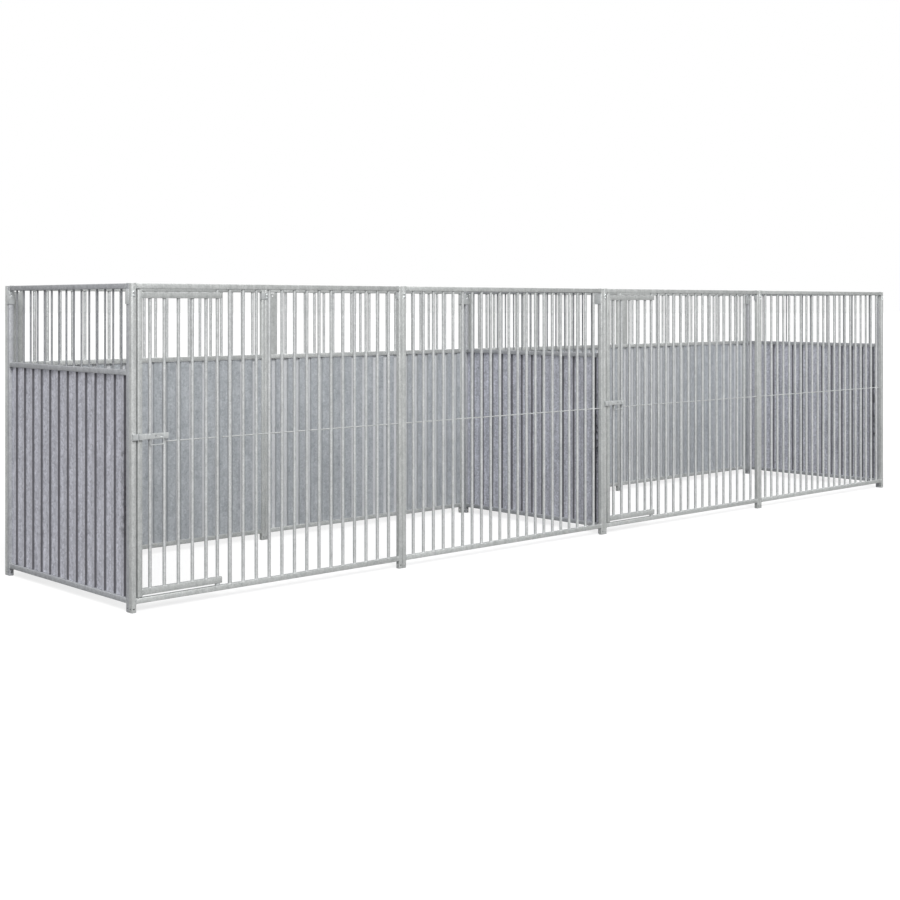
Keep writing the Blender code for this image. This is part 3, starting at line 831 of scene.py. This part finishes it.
def makeSheetedPanel(span, barCount, barRadius, ribs, seed, finish):
    pitch = (span + mm - side) / (barCount + 1)
    tubeFinish, barFinish, sheetFinish = finish
    framework = [makePosts(span, tubeFinish), *makeRails(span, (railLow, midLow, upperRail), tubeFinish)]
    upper = barRow(
        barFinish, side / 2 + pitch, pitch, barCount, midTop - sunk, upperRail + sunk, barRadius)
    low, high = railTop + cladding["edgeGap"], midLow - cladding["edgeGap"]
    sheet = grown("sheet", sheetFinish, {
        "Width": span - 2 * side - 2 * cladding["edgeGap"], "Height": high - low, "Ribs": ribs,
        "Columns": cladding["columns"], "Rows": cladding["rows"], "Crest": cladding["crest"],
        "Slope": cladding["slope"], "Flat Depth": cladding["flatDepth"],
        "Crest Depth": cladding["crestDepth"], "Fold Shade Spread": cladding["foldShadeSpread"],
        "Thickness": cladding["sheet"], "Dent": cladding["dent"], "Seed": seed})
    sheet.transform(Matrix.Translation((span / 2, 0, (low + high) / 2)))
    return framework, upper, sheet


seedStep, rearSeed = 3.7, 20  # each sheet gets its own dents
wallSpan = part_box("left_wall_frame")[1].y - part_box("left_wall_frame")[0].y
for number, wall in enumerate(("left_wall", "middle_wall", "right_wall")):
    low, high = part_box(f"{wall}_frame")
    here = Matrix.Translation((low.x, high.y, 0)) @ Matrix.Rotation(-math.pi / 2, 4, "Z")
    framework, upper, sheet = makeSheetedPanel(
        wallSpan, bars["wallCount"], bars["wallRadius"], cladding["wallRibs"], seedStep * number,
        ("paintedShadeTube", "paintedShadeBar", "wallCladdingZinc"))
    piece(f"{wall}_tubes", framework, here, "frame", "galvanised_frame", [f"{wall}_frame"])
    piece(f"{wall}_upper_bars", [upper], here, "frame", "galvanised_bar", [f"{wall}_frame"])
    piece(f"{wall}_cladding", [sheet], here, "frame", "galvanised_sheet", [f"{wall}_sheet"])
print("cross walls made")


def makeEndPlate():
    low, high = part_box("rear_1_end_plate")
    x0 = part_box("rear_1_frame")[0].x
    y0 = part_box("rear_1_frame")[1].y
    lowX, highX = low.x - x0, high.x - x0
    near, far = y0 - high.y, y0 - low.y
    corner, steps, edge = [endPlateSizes[key] for key in ("corner", "cornerSteps", "edge")]
    middleX, middleZ = (lowX + highX) / 2, (low.z + high.z) / 2
    outline = [(lowX, low.z), (highX, low.z)]
    for middle, first in ((highX - corner, 0), (lowX + corner, 90)):
        outline += arc(middle, high.z - corner, corner, first, 90, steps)

    def fill(bm):
        rings = []
        for y, inset in ((near, edge), (near + edge, 0.0), (far - edge, 0.0), (far, edge)):
            rings.append([bm.verts.new((
                x + math.copysign(inset, middleX - x), y, z + math.copysign(inset, middleZ - z)))
                for x, z in outline])
        skin(bm, rings)

    def hole(bm):
        up = high.z - endPlateSizes["holeDrop"]
        start, end = (middleX, near - side, up), (middleX, far + side, up)
        addRod(bm, start, end, endPlateSizes["hole"], endPlateSizes["holeSides"])

    return drilled(shaped(fill, "hotDipTube"), hole)


endPlate = makeEndPlate()
flip = Matrix.Scale(-1, 4, (0, 1, 0))
for n in (1, 2, 3, 4):
    low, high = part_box(f"rear_{n}_frame")
    here = Matrix.Translation((low.x, high.y, 0)) @ flip
    framework, upper, sheet = makeSheetedPanel(
        panelSpan, bars["frontCount"], bars["radius"], cladding["rearRibs"],
        rearSeed + seedStep * n,
        ("hotDipTube", "hotDipBar", "rearCladdingZinc"))
    name = f"rear_{n}"
    piece(f"{name}_tubes", framework, here, "frame", "galvanised_frame", [f"{name}_frame"])
    piece(f"{name}_upper_bars", [upper], here, "frame", "galvanised_bar", [f"{name}_frame"])
    piece(f"{name}_cladding", [sheet], here, "frame", "galvanised_sheet", [f"{name}_sheet"])
    piece(f"{name}_plate", [endPlate], here, "frame", "galvanised_frame", [f"{name}_end_plate"])
print("rear row made")


# Doors and their latches

def makeDoorFrame():
    stile, foot, top = door["stileX"], door["stileFoot"], door["stileTop"]
    tailX = bars["hingeX"] + door["tail"] - side / 2

    def stileTube(bm):
        addTube(bm, (stile, 0, foot), (stile + side, side, top), 2, openLow=True)

    def rails(bm):
        edge = door["railEdge"]
        ring = [(stile + side - mm, 0), (stile + side - mm, side)]
        ring += arc(tailX, side / 2, side / 2, 90, -180, 2 * door["tailSteps"])
        for low in door["railUps"]:
            high = low + door["railTall"]
            layers = []
            for up, inset in ((low, edge), (low + edge / 3, edge / 3), (low + edge, 0),
                              (high - edge, 0), (high - edge / 3, edge / 3), (high, edge)):
                layers.append([bm.verts.new((
                    x - math.copysign(inset, x - stile - 2 * side) if x > stile + 2 * side else x,
                    side / 2 + (y - side / 2) * (1 - 2 * inset / side), up)) for x, y in ring])
            skin(bm, layers)

    def eyes(bm):
        for low in door["railUps"]:
            x, high = bars["hingeX"], low + door["railTall"]
            start, end = (x, side / 2, low - side), (x, side / 2, high + side)
            addRod(bm, start, end, door["eye"], door["eyeSides"])

    points = [(stile + side + mm, side / 2, low + door["railTall"] / 2) for low in door["railUps"]]
    return [
        shaped(stileTube, "hotDipTube"), drilled(shaped(rails, "hotDipTube"), eyes),
        beadsAt(points, door["railTall"])]


def makeDoorBars():
    low = door["railUps"][0] + door["railTall"] - sunk
    high = door["railUps"][1] + sunk
    first, step, count = door["firstBar"], door["barStep"], door["barCount"]
    rod = tieRod(first + step, bars["hingeX"] - bars["radius"] - mm)
    return [barRow("hotDipBar", first, step, count, low, high), rod]


latchLow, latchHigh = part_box("left_door_latch_plate")
latchUp = (latchLow.z + latchHigh.z) / 2
latchTall = latchHigh.z - latchLow.z
boltBack = -gap - latch["plate"] - latch["play"]
boltFront = boltBack - latch["boltThick"]


def addGuide(bm, ends):
    # A folded strap over the bolt, with its two feet on the plate
    outer, tall = -latch["reach"], latchTall / 2
    inner = boltFront - latch["play"]
    hold = latch["boltTall"] / 2 + latch["play"]
    fold, edge = latch["guideFold"], latch["guideEdge"]
    profile = [
        (-gap, -tall), (outer + fold, -tall), (outer + edge, -tall + edge), (outer, -tall + fold),
        (outer, tall - fold), (outer + edge, tall - edge), (outer + fold, tall), (-gap, tall),
        (-gap, hold), (inner, hold), (inner, -hold), (-gap, -hold)]
    rings = [[bm.verts.new((x, y, latchUp + z)) for y, z in profile] for x in ends]
    skin(bm, rings)


def padlockHole(bm, x):
    start, end = (x, -side, latchUp), (x, side, latchUp)
    addRod(bm, start, end, latch["padlockHole"], latch["holeSides"])


def makeLatchPlate():
    def plate(bm):
        low = (latch["stileGuide"][0], -gap - latch["plate"], latchUp - latchTall / 2)
        addBlock(bm, low, (latch["barGuide"][1], -gap, latchUp + latchTall / 2), latch["edge"])

    def guides(bm):
        addGuide(bm, latch["stileGuide"])
        addGuide(bm, latch["barGuide"])

    def hole(bm):
        padlockHole(bm, latch["padlockX"])

    return [drilled(shaped(plate, "zincPlatedSteel"), hole), shaped(guides, "zincPlatedSteel")]


def makeBolt():
    tip, end = latch["boltEnds"]
    low, high = latchUp - latch["boltTall"] / 2, latchUp + latch["boltTall"] / 2
    middle = (boltBack + boltFront) / 2
    grip = low - latch["drop"]
    first, last = latch["legs"]

    def flat(bm):
        addBlock(bm, (tip, boltFront, low), (end, boltBack, high), latch["edge"])

    def handle(bm):
        bend, steps, root = latch["bend"], latch["bendSteps"], low + latch["handleRoot"]
        points = [(first, middle, root), (first, middle, grip + bend)]
        for centre, start in ((first + bend, 180), (last - bend, 270)):
            turned = arc(centre, grip + bend, bend, start, 90, steps)
            points += [(x, middle, z) for x, z in turned[1:]]
        points += [(last, middle, grip + bend + mm), (last, middle, root)]
        addBentRod(bm, points, latch["wire"])

    def holes(bm):
        # One meets the plate's hole when the bolt is drawn, the other when it is shot
        padlockHole(bm, latch["padlockX"])
        padlockHole(bm, latch["padlockX"] + latch["travel"])

    return [drilled(shaped(flat, "zincPlatedSteel"), holes), shaped(handle, "zincPlatedSteel")]


def makeKeeper():
    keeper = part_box("left_door_keeper")
    x0 = panelPlace(1).translation.x
    ends = (keeper[0].x - x0, keeper[1].x - x0)
    return [shaped(lambda bm: addGuide(bm, ends), "zincPlatedSteel")]


def makeStop(node):
    # A steel lug with rounded edges, fixed behind the stile
    origin = panelPlace(1).translation
    low, high = [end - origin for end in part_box(node)]
    return [shaped(lambda bm: addBlock(bm, low, high, door["lugEdge"]), "zincPlatedSteel")]


doorFrame, doorBars = makeDoorFrame(), makeDoorBars()
latchPlate, bolt, keeper = makeLatchPlate(), makeBolt(), makeKeeper()
for hand, n in (("left", 1), ("right", 3)):
    name, latchBody = f"{hand}_door", f"{hand}_latch"
    here = panelPlace(n)
    piece(f"{name}_frame_tubes", doorFrame, here, name, "galvanised_frame", [f"{name}_leaf"])
    piece(f"{name}_bars", doorBars, here, name, "galvanised_bar", [f"{name}_leaf"])
    piece(f"{name}_latch_guides", latchPlate, here, name, "zinc_hardware", [f"{name}_latch_plate"])
    piece(f"{name}_sliding_bolt", bolt, here, latchBody, "zinc_hardware", [f"{name}_latch_bolt"])
    piece(f"{name}_catch", keeper, here, "frame", "zinc_hardware", [f"{name}_keeper"])
    for end in ("bottom", "top"):
        lug = makeStop(f"left_door_stop_{end}")
        piece(f"{name}_lug_{end}", lug, here, "frame", "zinc_hardware", [f"{name}_stop_{end}"])
print("doors made")


# Couplings between panels

def makeStrips(depth, lowX, highX, hooked, strapped):
    # The strip behind the posts, its hook round the next panel's post and the straps of its U
    ups = screws["strapUps"] if strapped else screws["stripUps"]
    far = depth + gap + screws["strap"]
    arms = []
    if hooked:
        arms.append((lowX, side / 4))
    if strapped:
        arms += [(-gap - screws["strap"], side + mm), (side + gap, side + mm)]

    def strips(bm):
        thick, edge = screws["strap"], screws["edge"]
        addBlock(bm, (lowX, far - thick, ups[0]), (highX, far, ups[1]), edge)
        for x, near in arms:
            addBlock(bm, (x, near, ups[0]), (x + thick, far - edge, ups[1]), edge)

    return shaped(strips, "zincPlatedSteel")


screwValues = {
    "Head": screws["head"], "Head Tall": screws["headTall"], "Washer": screws["washer"],
    "Washer Tall": screws["washerTall"], "Shank": screws["shank"], "Shank Tall": screws["shankTall"]}
screwHeads = grown("screws", "zincPlatedSteel", screwValues, [(side / 2, 0, up) for up in screws["ups"]])
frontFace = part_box("front_1_left_post")[0].y
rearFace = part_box("rear_1_frame")[1].y
for row, face, facing in (("front", frontFace, Matrix.Identity(4)), ("rear", rearFace, flip)):
    for n in range(1, 6):
        node = f"{row}_coupling_{n}"
        low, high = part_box(node)
        post = f"front_{n}_left_post" if n < 5 else "front_4_right_post"
        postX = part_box(post)[0].x
        here = Matrix.Translation((postX, face, 0)) @ facing
        strapped = n in (1, 3, 5)
        hooked = n in (2, 3, 4)
        depth = 2 * side + mm if strapped else side
        strips = makeStrips(depth, low.x - postX, high.x - postX, hooked, strapped)
        turned = Matrix.Rotation(math.pi, 4, "Z")
        nuts = screwHeads.copy()
        nuts.transform(Matrix.Translation((side, depth + gap + screws["strap"], 0)) @ turned)
        piece(node + "_screws", [strips, screwHeads, nuts], here, "frame", "zinc_hardware", [node])
print("couplings made")


# Floor, light and camera

studio = {
    "floor": "#8C8C8C",
    "floorGlow": 0.72,  # whitens the floor for the camera, without lighting the kennel
    "floorSize": 800.0,
    "floorMatt": 0.9,
    "sky": "#FFFFFF",
    "skyHigh": 1.0,
    "skyLow": 0.55,
    "skyFull": 0.7,  # how high up the sky reaches its full strength
    "skyRight": 0.45,  # share of the sky's light that comes from the right-hand side
    "skyTurn": (-0.3, 0.7),
    "sun": 3.0,
    "sunSpread": 24,
    "sunTilt": 50,
    "sunTurn": -22,
}
view = {
    "lens": 56.57,  # millimetres, on this sensor
    "sensor": 36,
    "farEnd": 300,
    "shiftY": -0.161,
    "turn": 0.750,
    "fromCorner": (-4.069, -6.967, 1.718),
}

bm = bmesh.new()
bmesh.ops.create_grid(bm, x_segments=8, y_segments=8, size=studio["floorSize"] / 2)
floorMesh = bpy.data.meshes.new("studioFloor")
bm.to_mesh(floorMesh)
bm.free()
floor = bpy.data.objects.new("studioFloor", floorMesh)
bpy.context.scene.collection.objects.link(floor)
floor.location.z = cadLow.z
paint = bpy.data.materials.new("paleFloor")
paint.use_nodes = True
paintShader = paint.node_tree.nodes["Principled BSDF"]
paintShader.inputs["Roughness"].default_value = studio["floorMatt"]
paintShader.inputs["Base Color"].default_value = hexColour(studio["floor"])
paintShader.inputs["Emission Color"].default_value = hexColour(studio["sky"])
seen = addNode(paint.node_tree, "ShaderNodeLightPath")
glow = calc(paint.node_tree, "MULTIPLY", (seen, "Is Camera Ray"), studio["floorGlow"])
paint.node_tree.links.new(glow.outputs["Value"], paintShader.inputs["Emission Strength"])
floorMesh.materials.append(paint)

world = bpy.data.worlds.new("studio")
bpy.context.scene.world = world
world.use_nodes = True
sky = world.node_tree
background = sky.nodes["Background"]
where = addNode(sky, "ShaderNodeTexCoord")
upward = addNode(sky, "ShaderNodeSeparateXYZ", None, {"Vector": (where, "Generated")})
level = addNode(sky, "ShaderNodeMapRange", None, {
    "Value": (upward, "Z"), "From Min": 0.0, "From Max": studio["skyFull"],
    "To Min": studio["skyLow"], "To Max": studio["skyHigh"]})
rightward = addNode(sky, "ShaderNodeMapRange", {"interpolation_type": "SMOOTHSTEP"}, {
    "Value": (upward, "X"), "From Min": studio["skyTurn"][0], "From Max": studio["skyTurn"][1],
    "To Min": 1.0, "To Max": studio["skyRight"]})
light = calc(sky, "MULTIPLY", (level, "Result"), (rightward, "Result"))
ray = addNode(sky, "ShaderNodeLightPath")
shown = addNode(sky, "ShaderNodeMix", {"data_type": "FLOAT"}, {
    0: (ray, "Is Camera Ray"), 2: (light, "Value"), 3: 1.0})
background.inputs["Color"].default_value = hexColour(studio["sky"])
sky.links.new(shown.outputs[0], background.inputs["Strength"])

sunData = bpy.data.lights.new("softKey", "SUN")
sunData.energy = studio["sun"]
sunData.angle = math.radians(studio["sunSpread"])
sun = bpy.data.objects.new("softKey", sunData)
sun.rotation_euler = (math.radians(studio["sunTilt"]), 0, math.radians(studio["sunTurn"]))
bpy.context.scene.collection.objects.link(sun)

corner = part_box("front_1_left_post")[0]
cameraData = bpy.data.cameras.new("camera")
cameraData.sensor_width = view["sensor"]
cameraData.lens = view["lens"]
cameraData.shift_y = view["shiftY"]
cameraData.clip_end = view["farEnd"]
camera = bpy.data.objects.new("camera", cameraData)
camera.location = [a + b for a, b in zip((corner.x, corner.y, 0), view["fromCorner"])]
camera.rotation_euler = (math.pi / 2, 0, -view["turn"])
bpy.context.scene.collection.objects.link(camera)
bpy.context.scene.camera = camera
bpy.context.scene.view_settings.view_transform = "Standard"
print("stage made")
